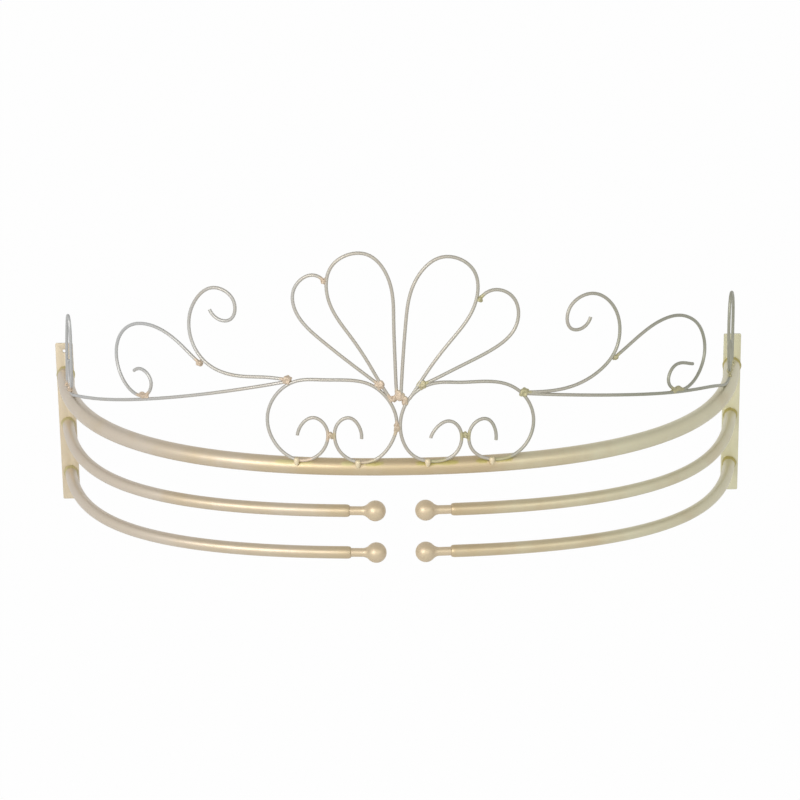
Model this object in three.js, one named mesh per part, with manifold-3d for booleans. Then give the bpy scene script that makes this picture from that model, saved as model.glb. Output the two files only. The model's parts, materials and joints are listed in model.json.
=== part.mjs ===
// A wall-mounted crown for bed curtains: three nested bow rails between two flat wall plates.
// The upper rail is one piece and carries a crest of bent wire; the two lower rows are half
// rails that leave a gap in front, each with a socket end that takes a push-in ball finial.
// Millimetres. The wall is the plane Y = 0, the bows come out towards -Y, +Z is up, and the
// origin lies on the wall, midway between the plates, at the height of the upper rail's axis.
import * as THREE from 'three';
import { NURBSCurve } from 'three/addons/curves/NURBSCurve.js';
import * as BufferGeometryUtils from 'three/addons/utils/BufferGeometryUtils.js';
import Module from 'manifold-3d';

const wasm = await Module();
wasm.setup();

// Driving dimensions of the bows
const BOW_WIDTH = 970;
const UPPER_REACH = 420;
const MID_REACH = 384;
const LOWER_REACH = 345;
const TIER_DROP = 75;

// Tubes
const UPPER_TUBE_DIAMETER = 23;
const HALF_TUBE_DIAMETER = 17;
const TUBE_WALL = 1.2;
const ROOT_WELD_SWELL = 2;
const ROOT_WELD_LENGTH = 4;
const SOCKET_LENGTH = 21;
const SWAGE_LENGTH = 6;
const MOUTH_LIP = 0.8;

// Wall plates
const PLATE_WIDTH = 25;
const PLATE_THICKNESS = 3;
const PLATE_ABOVE_ROWS = 48;
const PLATE_BELOW_ROWS = 42;
const PLATE_CORNER_RADIUS = 2;
const SCREW_HOLE_DIAMETER = 5;
const SCREW_HOLE_INSET = 12;

// Ball finials
const BALL_DIAMETER = 28;
const BALL_GAP = 39;
const STEM_DIAMETER = 12;
const STEM_REACH = 34.5;
const STEM_FLARE_RADIUS = 12;
const SPIGOT_LENGTH = 17;
const SPIGOT_CLEARANCE = 0.4;
const SPIGOT_CHAMFER = 1;

// Crest
const WIRE_DIAMETER = 4.5;
const CREST_HEIGHT = 284;
const PEG_DIAMETER = 7.4;
const PEG_LENGTH = 12;
const pegTipShare = 0.45;
const BEAD_SIZE = 8.6;
const BEAD_DEPTH = 7.4;
const LARGE_BEAD_SIZE = 13;
const TALL_BEAD_HEIGHT = 13;

// Gap kept between two pieces that touch, and how far a cutting shape runs past what it cuts
const CLEARANCE = 0.3;
const OVERRUN = 10;

// Facets
const RAIL_SIDES = 16;
const HALF_RAIL_SIDES = 14;
const BORE_SIDES = 8;
const WIRE_SIDES = 6;
const RAIL_STEPS = 16;
const HALF_RAIL_STEPS = 12;
const BALL_SIDES = 14;
const BALL_ARC_STEPS = 7;
const FLARE_ARC_STEPS = 3;
const BEAD_SIDES = 8;
const BEAD_RINGS = 5;
const CORNER_ARC_STEPS = 2;
const HOLE_SIDES = 12;
const TRACE_STEPS = 600;
const WIRE_STEPS_PER_TURN = 17;
const straightStepShare = 0.14;

// Half plan of a bow, from the front middle to the wall, as shares of half width and reach.
// The two lower rows are bent a little fuller than the upper rail.
const upperBowShares = { frontRun: 0.698, wallLean: [0.953, 0.57] };
const lowerBowShares = { frontRun: 0.742, wallLean: [0.934, 0.62] };

const plateFace = PLATE_THICKNESS + CLEARANCE;
const lowestRow = -2 * TIER_DROP;
const FULL_TURN = Math.PI * 2;
const sideNames = ['left', 'right'];
const signOf = (name) => (name === 'left' ? -1 : 1);
const UP = new THREE.Vector3(0, 0, 1);

// Materials
function paint(colour, roughness) {
  return new THREE.MeshStandardMaterial({ color: colour, roughness, metalness: 0.6 });
}

const railPaint = paint(0xc8b68c, 0.42);
const platePaint = paint(0xb9a777, 0.48);
const wirePaint = paint(0xb5a684, 0.46);
const finialPaint = paint(0xcbb88d, 0.38);

// Booleans
function toSolid(geometry) {
  const bare = geometry.clone();
  bare.deleteAttribute('normal');
  bare.deleteAttribute('uv');
  const merged = BufferGeometryUtils.mergeVertices(bare);
  return new wasm.Manifold(new wasm.Mesh({
    numProp: 3,
    vertProperties: new Float32Array(merged.attributes.position.array),
    triVerts: new Uint32Array(merged.index.array),
  }));
}

function toGeometry(solid) {
  const mesh = solid.getMesh();
  const geometry = new THREE.BufferGeometry();
  geometry.setAttribute('position', new THREE.Float32BufferAttribute(mesh.vertProperties, 3));
  geometry.setIndex(new THREE.Uint32BufferAttribute(mesh.triVerts, 1));
  return geometry;
}

function without(solid, rooms) {
  return rooms.reduce((rest, room) => rest.subtract(room), solid);
}

// A round bar or bore along stations {point, along, across, radius}, with flat ends
function sweep(stations, sides) {
  const positions = [];
  for (const station of stations) {
    const second = new THREE.Vector3().crossVectors(station.along, station.across);
    for (let side = 0; side < sides; side += 1) {
      const angle = (FULL_TURN * side) / sides;
      const corner = station.point.clone()
        .addScaledVector(station.across, station.radius * Math.cos(angle))
        .addScaledVector(second, station.radius * Math.sin(angle));
      positions.push(corner.x, corner.y, corner.z);
    }
  }
  const faces = [];
  for (let ring = 0; ring < stations.length - 1; ring += 1) {
    for (let side = 0; side < sides; side += 1) {
      const next = (side + 1) % sides;
      const a = ring * sides + side;
      const b = ring * sides + next;
      faces.push(a, b, b + sides, a, b + sides, a + sides);
    }
  }
  const last = (stations.length - 1) * sides;
  for (let side = 1; side < sides - 1; side += 1) {
    faces.push(0, side + 1, side);
    faces.push(last, last + side, last + side + 1);
  }
  const geometry = new THREE.BufferGeometry();
  geometry.setAttribute('position', new THREE.Float32BufferAttribute(positions, 3));
  geometry.setIndex(faces);
  return geometry;
}

// Bows
function halfBow(reach, shares = upperBowShares) {
  const halfWidth = BOW_WIDTH / 2;
  const [wallX, wallY] = shares.wallLean;
  return new THREE.CubicBezierCurve3(
    new THREE.Vector3(0, -reach, 0),
    new THREE.Vector3(halfWidth * shares.frontRun, -reach, 0),
    new THREE.Vector3(halfWidth * wallX, -reach * wallY, 0),
    new THREE.Vector3(halfWidth, 0, 0),
  );
}

// A place on a bow: distance is measured along it from the front middle, right side positive
function placeOnBow(bow, distance, height) {
  const share = Math.min(Math.abs(distance) / bow.getLength(), 1);
  const side = distance < 0 ? -1 : 1;
  const point = bow.getPointAt(share);
  const along = bow.getTangentAt(share);
  return {
    point: new THREE.Vector3(side * point.x, point.y, height),
    along: new THREE.Vector3(along.x, side * along.y, 0),
    across: UP,
  };
}

function railStations(bow, distances, height, radiusAt) {
  return distances.map((distance) => ({
    ...placeOnBow(bow, distance, height),
    radius: radiusAt(distance),
  }));
}

function evenDistances(from, to, steps) {
  return Array.from({ length: steps + 1 }, (_, step) => from + ((to - from) * step) / steps);
}

// Wall plates
function arcPoints(x, y, radius, from, to, steps) {
  return evenDistances(from, to, steps).map((angle) => (
    new THREE.Vector2(x + radius * Math.cos(angle), y + radius * Math.sin(angle))
  ));
}

function plateGeometry() {
  const top = PLATE_ABOVE_ROWS;
  const foot = lowestRow - PLATE_BELOW_ROWS;
  const radius = PLATE_CORNER_RADIUS;
  const right = PLATE_WIDTH / 2 - radius;
  const quarter = FULL_TURN / 4;
  const corners = [
    [right, top - radius],
    [-right, top - radius],
    [-right, foot + radius],
    [right, foot + radius],
  ];
  const outline = new THREE.Shape(corners.flatMap(([x, z], corner) => (
    arcPoints(x, z, radius, corner * quarter, (corner + 1) * quarter, CORNER_ARC_STEPS)
  )));
  for (const height of [top - SCREW_HOLE_INSET, foot + SCREW_HOLE_INSET]) {
    const rim = arcPoints(0, height, SCREW_HOLE_DIAMETER / 2, FULL_TURN, 0, HOLE_SIDES).slice(1);
    outline.holes.push(new THREE.Path(rim));
  }
  const settings = { depth: PLATE_THICKNESS, bevelEnabled: false };
  return new THREE.ExtrudeGeometry(outline, settings).rotateX(quarter);
}

function wallRoom(side, height, tubeDiameter) {
  const width = PLATE_WIDTH + 2 * OVERRUN;
  const depth = PLATE_THICKNESS + CLEARANCE + 2 * OVERRUN;
  const room = new THREE.BoxGeometry(width, depth, tubeDiameter + 2 * OVERRUN);
  return toSolid(room.translate((side * BOW_WIDTH) / 2, depth / 2 - plateFace, height));
}

// Rails: a weld collar swells each root, and a half rail's socket end is swaged onto its finial
function rootSwell(distanceFromPlate) {
  const share = 1 - distanceFromPlate / ROOT_WELD_LENGTH;
  return share > 0 ? ROOT_WELD_SWELL * share : 0;
}

const swagedMouth = STEM_DIAMETER / 2 + SPIGOT_CLEARANCE;
const stemStart = BALL_GAP / 2 + BALL_DIAMETER / 2 + STEM_REACH;

const upperBow = halfBow(UPPER_REACH);
const upperEnd = upperBow.getLength();

// The upper rail's outer shape, or with an allowance the room that crest pieces leave for it
function upperBar(allowance) {
  const root = upperEnd - plateFace - ROOT_WELD_LENGTH;
  const right = [...evenDistances(0, root, RAIL_STEPS), root + ROOT_WELD_LENGTH / 2, upperEnd];
  const distances = [...right.slice(1).reverse().map((distance) => -distance), ...right];
  const radius = UPPER_TUBE_DIAMETER / 2 + allowance;
  const radiusAt = (distance) => radius + rootSwell(upperEnd - plateFace - Math.abs(distance));
  return toSolid(sweep(railStations(upperBow, distances, 0, radiusAt), RAIL_SIDES));
}

function upperRail() {
  const distances = evenDistances(-upperEnd, upperEnd, RAIL_STEPS * 2);
  const boreRadius = UPPER_TUBE_DIAMETER / 2 - TUBE_WALL;
  const bore = toSolid(sweep(
    railStations(upperBow, distances, 0, () => boreRadius),
    BORE_SIDES,
  ));
  const walls = [-1, 1].map((side) => wallRoom(side, 0, UPPER_TUBE_DIAMETER));
  return without(upperBar(0), [bore, ...walls]);
}

// A stretch of tube on one side of a bow; what is cut away along it is a bore or a wider tube
function halfTube({ side, bow, height }, distances, radiusAt, facets) {
  const sided = side > 0 ? distances : distances.map((distance) => -distance).reverse();
  const stations = railStations(bow, sided, height, (distance) => radiusAt(Math.abs(distance)));
  return toSolid(sweep(stations, facets));
}

// A half rail stops short of its socket end, which is butt welded to it
function halfRail(place) {
  const end = place.bow.getLength();
  const radius = HALF_TUBE_DIAMETER / 2;
  const front = stemStart + SOCKET_LENGTH + CLEARANCE;
  const root = end - plateFace - ROOT_WELD_LENGTH;
  const body = evenDistances(front, root, HALF_RAIL_STEPS);
  const outer = [...body, root + ROOT_WELD_LENGTH / 2, end];
  const bore = [front - OVERRUN, ...body.slice(1), end];
  const radiusAt = (distance) => radius + rootSwell(end - plateFace - distance);
  const bar = halfTube(place, outer, radiusAt, HALF_RAIL_SIDES);
  const hollow = halfTube(place, bore, () => radius - TUBE_WALL, BORE_SIDES);
  return without(bar, [hollow, wallRoom(place.side, place.height, HALF_TUBE_DIAMETER)]);
}

function socketEnd(place) {
  const radius = HALF_TUBE_DIAMETER / 2;
  const front = stemStart;
  const swaged = front + SWAGE_LENGTH;
  const back = front + SOCKET_LENGTH;
  const mouthRadius = swagedMouth + MOUTH_LIP;
  const radiusAt = (distance) => {
    const swell = Math.sqrt(Math.min((distance - front) / SWAGE_LENGTH, 1));
    return mouthRadius + (radius - mouthRadius) * swell;
  };
  const outer = [front, (front + swaged) / 2, swaged, back];
  const boreRadius = swagedMouth / Math.cos(Math.PI / BORE_SIDES);
  const bore = halfTube(place, [front - OVERRUN, back + OVERRUN], () => boreRadius, BORE_SIDES);
  return without(halfTube(place, outer, radiusAt, HALF_RAIL_SIDES), [bore]);
}

// Finial: ball, trumpet neck and spigot turned about one axis, laid along the rail's end
function finialGeometry() {
  const ball = BALL_DIAMETER / 2;
  const stem = STEM_DIAMETER / 2;
  const flare = STEM_FLARE_RADIUS;
  const flareCentre = Math.sqrt((ball + flare) ** 2 - (stem + flare) ** 2);
  const touch = Math.atan2(stem + flare, flareCentre);
  const profile = [];
  for (let step = 0; step <= BALL_ARC_STEPS; step += 1) {
    const angle = Math.PI - ((Math.PI - touch) * step) / BALL_ARC_STEPS;
    const radius = step === 0 ? 0 : ball * Math.sin(angle);
    profile.push(new THREE.Vector2(radius, ball * Math.cos(angle)));
  }
  const bend = FULL_TURN / 4 - touch;
  for (let step = 1; step <= FLARE_ARC_STEPS; step += 1) {
    const angle = touch + (bend * step) / FLARE_ARC_STEPS;
    profile.push(new THREE.Vector2(
      stem + flare - flare * Math.sin(angle),
      flareCentre - flare * Math.cos(angle),
    ));
  }
  const tip = STEM_REACH + SPIGOT_LENGTH;
  profile.push(new THREE.Vector2(stem, tip - SPIGOT_CHAMFER));
  profile.push(new THREE.Vector2(stem - SPIGOT_CHAMFER, tip));
  profile.push(new THREE.Vector2(0, tip));
  return new THREE.LatheGeometry(profile, BALL_SIDES);
}

function finial({ side, bow, height }) {
  const seat = placeOnBow(bow, side * stemStart, height);
  const inwards = seat.along.clone().multiplyScalar(side);
  const geometry = finialGeometry();
  geometry.applyQuaternion(new THREE.Quaternion().setFromUnitVectors(
    new THREE.Vector3(0, 1, 0),
    inwards,
  ));
  const centre = seat.point.clone().addScaledVector(inwards, -STEM_REACH);
  return geometry.translate(centre.x, centre.y, centre.z);
}

// Crest: each wire is drawn flat, [distance from the middle, height over its seat], then laid on
// a bow of its own. A wire at height 0 is seated on the upper rail, half way between its top and
// its front.
const seatDistance = (UPPER_TUBE_DIAMETER + WIRE_DIAMETER) / 2 + CLEARANCE;
const seatHeight = seatDistance * Math.SQRT1_2;
const crestBow = halfBow(UPPER_REACH + seatHeight);
const crestLength = crestBow.getLength();

const leftOvalShares = [
  [0.184, 0.125], [0.182, 0.165], [0.158, 0.245], [0.122, 0.165], [0.134, 0.04], [0.176, -0.015],
  [0.216, 0.035], [0.24, 0.135], [0.24, 0.245], [0.216, 0.345], [0.18, 0.4], [0.136, 0.395],
  [0.094, 0.4], [0.052, 0.39], [0.018, 0.315], [0, 0.205], [0.01, 0.1], [0.038, 0.005],
  [0.08, -0.01], [0.116, 0.055], [0.12, 0.185], [0.082, 0.245], [0.066, 0.15], [0.068, 0.115],
];
const rightOvalShares = [
  [0.056, 0.115], [0.06, 0.15], [0.086, 0.225], [0.118, 0.145], [0.106, 0.02], [0.062, -0.01],
  [0.02, 0.02], [0, 0.125], [0.002, 0.24], [0.024, 0.34], [0.064, 0.39], [0.108, 0.375],
  [0.15, 0.38], [0.194, 0.367], [0.23, 0.299], [0.248, 0.19], [0.239, 0.075], [0.206, -0.005],
  [0.162, -0.01], [0.124, 0.04], [0.122, 0.17], [0.164, 0.225], [0.176, 0.13], [0.174, 0.09],
];

const leftInnerPetalShares = [
  [0.004, 0.335], [0.005, 0.38], [0.006, 0.5], [0.008, 0.68], [0.006, 0.86], [0.048, 1.035],
  [0.128, 0.96], [0.128, 0.755], [0.084, 0.61], [0.051, 0.475], [0.031, 0.37], [0.0145, 0.306],
];
const rightInnerPetalShares = [
  [0.004, 0.335], [0.005, 0.38], [0.008, 0.5], [0.014, 0.68], [0.022, 0.855], [0.074, 1.015],
  [0.149, 0.925], [0.141, 0.72], [0.096, 0.588], [0.056, 0.46], [0.034, 0.365], [0.0195, 0.308],
];

const leftOuterPetalShares = [
  [0.129, 0.865], [0.146, 0.92], [0.194, 0.85], [0.184, 0.69], [0.134, 0.58], [0.088, 0.483],
  [0.057, 0.42], [0.034, 0.373],
];
const rightOuterPetalShares = [
  [0.146, 0.77], [0.162, 0.83], [0.217, 0.8], [0.22, 0.605], [0.158, 0.51], [0.108, 0.455],
  [0.067, 0.4], [0.041, 0.371],
];

const leftTallScrollShares = [
  [0.344, 0.7], [0.336, 0.655], [0.296, 0.63], [0.288, 0.775], [0.338, 0.83], [0.376, 0.74],
  [0.392, 0.625], [0.382, 0.505], [0.35, 0.42], [0.304, 0.39], [0.26, 0.395], [0.228, 0.4],
  [0.2, 0.39],
];
const rightTallScrollShares = [
  [0.354, 0.635], [0.348, 0.585], [0.306, 0.56], [0.304, 0.71], [0.356, 0.77], [0.4, 0.695],
  [0.42, 0.58], [0.413, 0.45], [0.376, 0.365], [0.33, 0.315], [0.284, 0.301], [0.252, 0.306],
  [0.226, 0.31],
];

const leftLowScrollShares = [
  [0.368, 0.435], [0.38, 0.455], [0.404, 0.51], [0.444, 0.57], [0.492, 0.585], [0.538, 0.55],
  [0.574, 0.455], [0.578, 0.33], [0.545, 0.222], [0.492, 0.198], [0.468, 0.32], [0.507, 0.367],
  [0.524, 0.33],
];
const rightLowScrollShares = [
  [0.406, 0.42], [0.42, 0.44], [0.452, 0.49], [0.5, 0.545], [0.556, 0.555], [0.606, 0.512],
  [0.653, 0.432], [0.681, 0.29], [0.641, 0.178], [0.581, 0.144], [0.527, 0.218], [0.558, 0.334],
  [0.606, 0.275], [0.62, 0.266],
];

const leftSideScrollShares = [
  [0.884, 0], [0.88, 0.05], [0.87, 0.14], [0.855, 0.25], [0.838, 0.35], [0.822, 0.434],
  [0.803, 0.385], [0.806, 0.28], [0.812, 0.15], [0.822, 0.022], [0.844, 0.018], [0.852, 0.1],
  [0.842, 0.18], [0.828, 0.165],
];
const rightSideScrollShares = [
  [0.956, 0], [0.962, 0.08], [0.964, 0.2], [0.944, 0.33], [0.892, 0.442], [0.853, 0.458],
  [0.84, 0.33], [0.849, 0.17], [0.864, 0.035], [0.888, 0.025], [0.904, 0.11], [0.89, 0.195],
  [0.872, 0.185],
];

// The arm runs straight from the oval's shoulder down to the rail and lies along it to its end
const leftArmShares = [
  [0.204, 0.38], [0.406, 0.26], [0.602, 0.138], [0.76, 0.045], [0.8, 0.013], [0.825, 0], [0.85, 0],
];
const rightArmShares = [
  [0.23, 0.303], [0.374, 0.253], [0.512, 0.187], [0.72, 0.088], [0.8, 0.015], [0.84, 0], [0.88, 0],
];

// Distances of the pegs from the middle
const leftPegShares = [0.186, 0.075];
const rightPegShares = [0.05, 0.166];

function crestPlace(side, distanceShare, heightShare) {
  const distance = side * distanceShare * crestLength;
  return placeOnBow(crestBow, distance, seatHeight + heightShare * CREST_HEIGHT);
}

// Facing of the crest at a place: level, square to its bow, away from the wall
function crestFacing(place) {
  return new THREE.Vector3().crossVectors(place.along, UP);
}

function splineThrough(shares) {
  const degree = 3;
  const inner = shares.length - degree;
  const knots = [
    ...Array(degree).fill(0),
    ...evenDistances(0, 1, inner),
    ...Array(degree).fill(1),
  ];
  const controls = shares.map(([along, up]) => new THREE.Vector4(along, up, 0, 1));
  return new NURBSCurve(degree, knots, controls);
}

// Points of a wire, closer together where it bends more
function wirePoints(side, shares) {
  const curve = splineThrough(shares);
  const trace = evenDistances(0, 1, TRACE_STEPS).map((share) => {
    const spot = curve.getPoint(share);
    const place = crestPlace(side, spot.x, spot.y);
    return { point: place.point, across: crestFacing(place) };
  });
  const sharpestBend = FULL_TURN / WIRE_STEPS_PER_TURN;
  const longestStep = CREST_HEIGHT * straightStepShare;
  const kept = [trace[0]];
  let turned = 0;
  let run = 0;
  for (let i = 1; i < TRACE_STEPS; i += 1) {
    const before = new THREE.Vector3().subVectors(trace[i].point, trace[i - 1].point);
    const after = new THREE.Vector3().subVectors(trace[i + 1].point, trace[i].point);
    turned += before.angleTo(after);
    run += before.length();
    if (turned > sharpestBend || run > longestStep) {
      kept.push(trace[i]);
      turned = 0;
      run = 0;
    }
  }
  return [...kept, trace[TRACE_STEPS]];
}

function wireGeometry(points, radius) {
  const stations = points.map(({ point, across }, i) => {
    const before = points[Math.max(i - 1, 0)].point;
    const after = points[Math.min(i + 1, points.length - 1)].point;
    const along = new THREE.Vector3().subVectors(after, before).normalize();
    const square = across.clone().addScaledVector(along, -across.dot(along)).normalize();
    return { point, along, across: square, radius };
  });
  return sweep(stations, WIRE_SIDES);
}

function nearestOnWire(points, spot) {
  const nearest = points.slice(1).map(({ point }, i) => (
    new THREE.Line3(points[i].point, point).closestPointToPoint(spot, true, new THREE.Vector3())
  ));
  return nearest.reduce((best, next) => (
    next.distanceTo(spot) < best.distanceTo(spot) ? next : best
  ));
}

// Where a wire comes nearest to its neighbour
function meetingPoint(points, neighbour) {
  const gaps = points.map(({ point }) => nearestOnWire(neighbour, point).distanceTo(point));
  return points[gaps.indexOf(Math.min(...gaps))].point;
}

// Weld metal: a lump that lies along the crest's bow
function bead(centre, length, height) {
  const geometry = new THREE.SphereGeometry(1, BEAD_SIDES, BEAD_RINGS);
  geometry.scale(length / 2, BEAD_DEPTH / 2, height / 2);
  const halfWidth = BOW_WIDTH / 2;
  const turn = Math.asin(THREE.MathUtils.clamp(centre.x / halfWidth, -1, 1));
  geometry.rotateZ(turn);
  return toSolid(geometry.translate(centre.x, centre.y, centre.z));
}

const start = (points) => points[0].point;
const end = (points) => points[points.length - 1].point;

const roundBead = (centre) => bead(centre, BEAD_SIZE, BEAD_SIZE);
const largeBead = (centre) => bead(centre, LARGE_BEAD_SIZE, LARGE_BEAD_SIZE);
const tallBead = (centre) => bead(centre, BEAD_SIZE, TALL_BEAD_HEIGHT);

// Every crest wire, the welds that it carries, and the neighbours that it keeps clear of
const leftCurlWeldShares = [0.1235, 0.128];
const rightCurlWeldShares = [0.1187, 0.122];
const rootWeldShares = [0.0008, 0.322];
const leftBridgeShares = [0.0085, 0.308];
const rightBridgeShares = [0.011, 0.297];

// The left inner petal carries the welds that bridge the fan's legs and both ovals' shoulders
function bridgeWelds() {
  return [
    largeBead(crestPlace(1, ...rootWeldShares).point),
    roundBead(crestPlace(-1, ...leftBridgeShares).point),
    tallBead(crestPlace(1, ...rightBridgeShares).point),
  ];
}

function crestWires(name) {
  const side = signOf(name);
  const other = name === 'left' ? 'right' : 'left';
  const oval = `${name}_oval_scroll`;
  const innerPetal = `${name}_inner_petal`;
  const tall = `${name}_tall_scroll`;
  const arm = `${name}_arm_wire`;
  const leads = name === 'left';
  const curlWeld = crestPlace(side, ...(leads ? leftCurlWeldShares : rightCurlWeldShares)).point;
  const wires = [
    {
      node: oval,
      shares: leads ? leftOvalShares : rightOvalShares,
      welds: (points, all) => [
        roundBead(curlWeld),
        ...(leads ? [tallBead(meetingPoint(points, all.right_oval_scroll))] : []),
      ],
      clear: leads ? ['right_oval_scroll', 'upper_rail'] : ['upper_rail'],
    },
    {
      node: innerPetal,
      shares: leads ? leftInnerPetalShares : rightInnerPetalShares,
      welds: (points) => (leads ? [roundBead(end(points)), ...bridgeWelds()] : []),
      clear: leads ? [oval, `${other}_oval_scroll`, 'right_inner_petal'] : [oval],
    },
    {
      node: `${name}_outer_petal`,
      shares: leads ? leftOuterPetalShares : rightOuterPetalShares,
      welds: (points) => [roundBead(start(points)), largeBead(end(points))],
      clear: [oval, innerPetal],
    },
    {
      node: tall,
      shares: leads ? leftTallScrollShares : rightTallScrollShares,
      welds: (points) => [largeBead(end(points))],
      clear: [oval, arm],
    },
    {
      node: `${name}_low_scroll`,
      shares: leads ? leftLowScrollShares : rightLowScrollShares,
      welds: (points, all) => [roundBead(start(points)), roundBead(meetingPoint(points, all[arm]))],
      clear: [tall, arm],
    },
    {
      node: `${name}_side_scroll`,
      shares: leads ? leftSideScrollShares : rightSideScrollShares,
      welds: (points, all) => [roundBead(start(points)), roundBead(meetingPoint(points, all[arm]))],
      clear: [arm, 'upper_rail'],
    },
    {
      node: arm,
      shares: leads ? leftArmShares : rightArmShares,
      welds: (points) => [roundBead(end(points))],
      clear: [oval, 'upper_rail'],
    },
  ];
  return wires.map((wire) => ({ ...wire, points: wirePoints(side, wire.shares) }));
}

// A peg is a drop that hangs from an oval's foot, welded to it and to the front of the rail. It
// is turned from a domed head that tapers to a rounded tip, with height 0 at the head's widest.
function pegGeometry() {
  const radius = PEG_DIAMETER / 2;
  const tipRadius = radius * pegTipShare;
  const tipHeight = radius + tipRadius - PEG_LENGTH;
  const arc = (from, to) => evenDistances(from, to, FLARE_ARC_STEPS);
  const tip = arc(0, FULL_TURN / 4).map((angle) => (
    new THREE.Vector2(tipRadius * Math.sin(angle), tipHeight - tipRadius * Math.cos(angle))
  ));
  const head = arc(0, FULL_TURN / 4).map((angle) => (
    new THREE.Vector2(radius * Math.cos(angle), radius * Math.sin(angle))
  ));
  tip[0].x = 0;
  head[FLARE_ARC_STEPS].x = 0;
  return new THREE.LatheGeometry([...tip, ...head], BEAD_SIDES).rotateX(FULL_TURN / 4);
}

// Its axis stands in front of the rail by a quarter of its width, so the rail cuts its back flat
const pegBow = halfBow(UPPER_REACH + UPPER_TUBE_DIAMETER / 2 + PEG_DIAMETER / 4);

function peg(name, distanceShare, oval, rooms) {
  const side = signOf(name);
  const place = placeOnBow(pegBow, side * distanceShare * pegBow.getLength(), 0);
  const foot = nearestOnWire(oval.points, crestPlace(side, distanceShare, 0).point);
  const geometry = pegGeometry().translate(place.point.x, place.point.y, foot.z);
  return without(toSolid(geometry), rooms);
}

// Assembly
const crown = new THREE.Group();

function addPiece(name, geometry, material) {
  const mesh = new THREE.Mesh(geometry, material);
  mesh.name = name;
  crown.add(mesh);
}

for (const name of sideNames) {
  const plate = plateGeometry().translate((signOf(name) * BOW_WIDTH) / 2, 0, 0);
  addPiece(`${name}_wall_plate`, plate, platePaint);
}

addPiece('upper_rail', toGeometry(upperRail()), railPaint);

const tiers = {
  mid: { bow: halfBow(MID_REACH, lowerBowShares), height: -TIER_DROP },
  lower: { bow: halfBow(LOWER_REACH, lowerBowShares), height: lowestRow },
};
for (const [tier, { bow, height }] of Object.entries(tiers)) {
  for (const name of sideNames) {
    const place = { side: signOf(name), bow, height };
    addPiece(`${name}_${tier}_rail`, toGeometry(halfRail(place)), railPaint);
    addPiece(`${name}_${tier}_socket`, toGeometry(socketEnd(place)), railPaint);
    addPiece(`${name}_${tier}_finial`, finial(place), finialPaint);
  }
}

const crest = sideNames.flatMap(crestWires);
const paths = Object.fromEntries(crest.map(({ node, points }) => [node, points]));
const rooms = { upper_rail: upperBar(CLEARANCE) };
for (const wire of crest) {
  rooms[wire.node] = toSolid(wireGeometry(wire.points, WIRE_DIAMETER / 2 + CLEARANCE));
}
for (const wire of crest) {
  const bar = toSolid(wireGeometry(wire.points, WIRE_DIAMETER / 2));
  const welded = wire.welds(wire.points, paths).reduce((whole, part) => whole.add(part), bar);
  addPiece(wire.node, toGeometry(without(welded, wire.clear.map((node) => rooms[node]))), wirePaint);
}

for (const name of sideNames) {
  const oval = crest.find(({ node }) => node === `${name}_oval_scroll`);
  const labels = name === 'left' ? ['outer', 'inner'] : ['inner', 'outer'];
  const shares = name === 'left' ? leftPegShares : rightPegShares;
  shares.forEach((share, i) => {
    const solid = peg(name, share, oval, [rooms[oval.node], rooms.upper_rail]);
    addPiece(`${name}_${labels[i]}_peg`, toGeometry(solid), wirePaint);
  });
}

export default crown;
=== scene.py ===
# %% [markdown]
# # A crown for bed curtains
# The crown hangs on the wall over the head of a bed. Three bowed rails stand out from two flat
# wall plates, and the upper rail carries a crest of bent wire. This lesson dresses the packed
# model: every piece is modelled again with round, smooth metal and gets a painted finish.

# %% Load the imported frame
import json
import math

import bpy
import numpy as np
from mathutils import Matrix, Vector
from mathutils.geometry import interpolate_bezier


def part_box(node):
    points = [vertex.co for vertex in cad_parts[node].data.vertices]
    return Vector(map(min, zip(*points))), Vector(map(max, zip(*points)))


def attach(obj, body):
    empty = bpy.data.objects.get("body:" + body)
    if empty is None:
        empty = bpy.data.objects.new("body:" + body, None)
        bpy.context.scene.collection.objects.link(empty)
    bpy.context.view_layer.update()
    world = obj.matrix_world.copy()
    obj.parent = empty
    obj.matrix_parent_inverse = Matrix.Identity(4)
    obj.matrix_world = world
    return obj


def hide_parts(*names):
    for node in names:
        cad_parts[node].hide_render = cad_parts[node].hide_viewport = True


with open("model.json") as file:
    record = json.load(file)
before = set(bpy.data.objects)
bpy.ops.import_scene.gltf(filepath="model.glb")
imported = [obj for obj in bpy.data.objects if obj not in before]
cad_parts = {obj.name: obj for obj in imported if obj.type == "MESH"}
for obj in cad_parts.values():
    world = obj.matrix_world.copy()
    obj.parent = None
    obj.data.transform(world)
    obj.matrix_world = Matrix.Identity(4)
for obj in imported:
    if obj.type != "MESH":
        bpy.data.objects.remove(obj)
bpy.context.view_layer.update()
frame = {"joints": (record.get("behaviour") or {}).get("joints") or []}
mm = 0.001

# %% [markdown]
# ## The camera
# The photograph was taken from about four metres, a little above the crown, with a long lens, so
# the rails hardly get smaller towards the wall. Such a view is set up by distance and lens rather
# than by moving the crown. The picture is tilted by less than a degree, which is a small turn of
# the camera about its own line of sight.

# %% Camera at the photograph's angle
CAMERA_PLACE = (1.4 * mm, -3885.5 * mm, 1239.1 * mm)
DOWNWARD, TILT = 0.3196, math.radians(-0.8)

bpy.ops.object.select_all(action="DESELECT")
bpy.ops.object.camera_add(location=CAMERA_PLACE)
camera = bpy.context.object
looks_down = Matrix.Rotation(math.pi / 2 - DOWNWARD, 4, "X")
tilt = Matrix.Rotation(TILT, 4, "Z")
camera.rotation_euler = (looks_down @ tilt).to_euler()
camera.data.lens = 126
camera.data.sensor_width = 36
bpy.context.scene.camera = camera
print("camera", [round(v, 3) for v in camera.location])

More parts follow.
